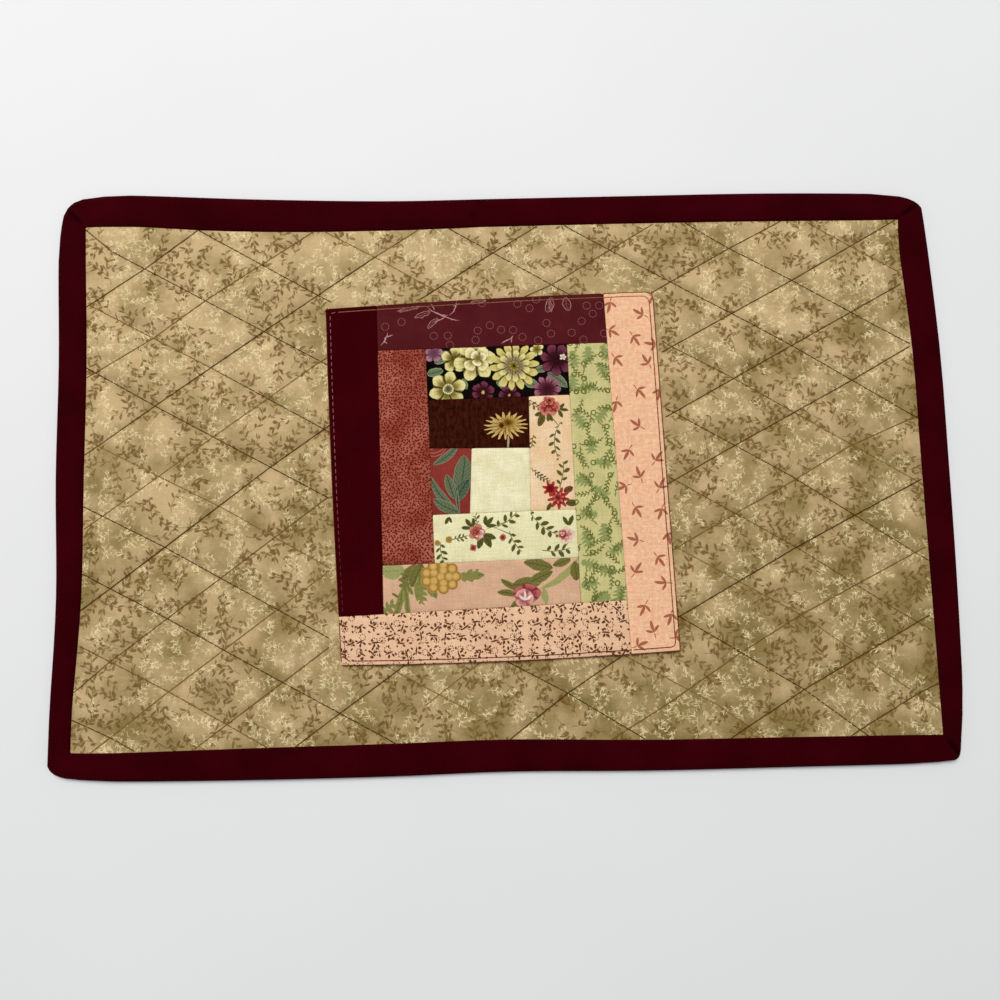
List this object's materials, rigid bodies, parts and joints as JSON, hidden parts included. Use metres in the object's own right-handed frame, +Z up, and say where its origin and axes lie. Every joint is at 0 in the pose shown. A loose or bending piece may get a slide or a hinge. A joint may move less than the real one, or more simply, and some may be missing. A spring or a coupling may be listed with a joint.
{
  "type": "fabric placemat",
  "caption": "Rectangular quilted cloth placemat with a dark folded binding and a log cabin patchwork block applied to its middle, for lying under a plate.",
  "frame": {"origin": "middle of the mat's box, on the surface the mat lies on", "axes": "+X along the mat's length to the right, +Y away from the person who sits at it, +Z up"},
  "size_m": [0.4626, 0.3022, 0.0041],
  "materials": {
    "quilted_cotton": "printed cotton, mottled tan and olive with brown and cream leaf sprigs",
    "binding_cotton": "plain dark wine cotton",
    "centre_cotton": "plain pale green cotton",
    "left_inner_cotton": "dull red cotton printed with grey-green leaves",
    "top_inner_cotton": "dark brown cotton printed with golden flowers",
    "right_inner_cotton": "pale pink cotton printed with roses and leaf vines",
    "bottom_inner_cotton": "cream cotton printed with small roses",
    "top_middle_cotton": "black cotton printed with pale yellow flowers",
    "left_middle_cotton": "dusty red dotted cotton",
    "bottom_middle_cotton": "beige cotton printed with golden flowers and a rosebud",
    "right_middle_cotton": "green cotton printed with ferns and vines",
    "top_outer_cotton": "wine brown cotton printed with dotted rings",
    "left_outer_cotton": "plain dark wine cotton",
    "bottom_outer_cotton": "pink cotton printed with tiny brown sprigs",
    "right_outer_cotton": "peach cotton printed with russet sprigs",
    "quilting_thread": "dark brown sewing thread",
    "topstitch_thread": "reddish brown sewing thread"
  },
  "bodies": {
    "root": {"quilted_panel": "quilted_cotton", "binding": "binding_cotton", "patch_centre": "centre_cotton", "strip_left_inner": "left_inner_cotton", "strip_top_inner": "top_inner_cotton", "strip_right_inner": "right_inner_cotton", "strip_bottom_inner": "bottom_inner_cotton", "strip_top_middle": "top_middle_cotton", "strip_left_middle": "left_middle_cotton", "strip_bottom_middle": "bottom_middle_cotton", "strip_right_middle": "right_middle_cotton", "strip_top_outer": "top_outer_cotton", "strip_left_outer": "left_outer_cotton", "strip_bottom_outer": "bottom_outer_cotton", "strip_right_outer": "right_outer_cotton"}
  },
  "joints": []
}
